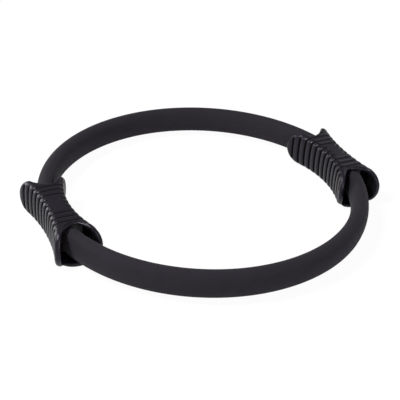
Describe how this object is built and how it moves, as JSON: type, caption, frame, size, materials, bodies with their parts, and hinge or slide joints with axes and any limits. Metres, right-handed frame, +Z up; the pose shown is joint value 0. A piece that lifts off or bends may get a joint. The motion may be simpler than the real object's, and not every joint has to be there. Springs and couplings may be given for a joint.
{
  "type": "pilates ring",
  "caption": "Foam-covered sprung hoop with opposite waisted, ribbed rubber handles that are squeezed together and spring back.",
  "frame": {"origin": "centre of the ring, on its axis and at half its height", "axes": "+X through the middle of the right handle, +Y towards the rear arc, +Z up along the ring's axis"},
  "size_m": [0.396, 0.3794, 0.042],
  "materials": {
    "grip_rubber": "satin",
    "foam_sleeve": "matte",
    "core_plastic": "matte",
    "glass_fibre": "satin",
    "clamp_steel": "satin"
  },
  "bodies": {
    "left_handle": {"left_grip": "grip_rubber", "left_core_outer": "core_plastic", "left_core_inner": "core_plastic", "left_clamp_screws": "clamp_steel", "left_clamp_nuts": "clamp_steel", "left_band_outer": "glass_fibre", "left_band_inner": "glass_fibre"},
    "right_handle": {"right_grip": "grip_rubber", "right_core_outer": "core_plastic", "right_core_inner": "core_plastic", "right_clamp_screws": "clamp_steel", "right_clamp_nuts": "clamp_steel", "right_band_outer": "glass_fibre", "right_band_inner": "glass_fibre"},
    "front_left": {"front_left_foam": "foam_sleeve", "front_left_band_outer": "glass_fibre", "front_left_band_inner": "glass_fibre"},
    "front_right": {"front_right_foam": "foam_sleeve", "front_right_band_outer": "glass_fibre", "front_right_band_inner": "glass_fibre"},
    "rear_left": {"rear_left_foam": "foam_sleeve", "rear_left_band_outer": "glass_fibre", "rear_left_band_inner": "glass_fibre"},
    "rear_right": {"rear_right_foam": "foam_sleeve", "rear_right_band_outer": "glass_fibre", "rear_right_band_inner": "glass_fibre"}
  },
  "joints": [
    {"name": "front_left_flex", "type": "hinge", "parent": "left_handle", "child": "front_left", "pos_m": [-0.17585, -0.036, 0], "axis": [0, 0, -1], "range_deg": [-5, 12], "stiffness_Nm_per_rad": 16.5},
    {"name": "front_middle_flex", "type": "hinge", "parent": "front_left", "child": "front_right", "pos_m": [0, -0.1795, 0], "axis": [0, 0, -1], "range_deg": [-24, 10], "stiffness_Nm_per_rad": 16.5, "deforming": ["front_left_foam", "front_left_band_outer", "front_left_band_inner", "front_right_foam", "front_right_band_outer", "front_right_band_inner"]},
    {"name": "front_right_flex", "type": "hinge", "parent": "front_right", "child": "right_handle", "pos_m": [0.17585, -0.036, 0], "axis": [0, 0, -1], "range_deg": [-5, 12], "stiffness_Nm_per_rad": 16.5},
    {"name": "rear_left_flex", "type": "hinge", "parent": "left_handle", "child": "rear_left", "pos_m": [-0.17585, 0.036, 0], "axis": [0, 0, 1], "range_deg": [-5, 12], "stiffness_Nm_per_rad": 16.5},
    {"name": "rear_middle_flex", "type": "hinge", "parent": "rear_left", "child": "rear_right", "pos_m": [0, 0.1795, 0], "axis": [0, 0, 1], "range_deg": [-24, 10], "stiffness_Nm_per_rad": 16.5, "deforming": ["rear_left_foam", "rear_left_band_outer", "rear_left_band_inner", "rear_right_foam", "rear_right_band_outer", "rear_right_band_inner"]}
  ],
  "couplings": [
    {"joint": "front_middle_flex", "follows": "front_left_flex", "ratio": -2},
    {"joint": "front_right_flex", "follows": "front_left_flex", "ratio": 1},
    {"joint": "rear_left_flex", "follows": "front_left_flex", "ratio": 1},
    {"joint": "rear_middle_flex", "follows": "front_left_flex", "ratio": -2}
  ]
}
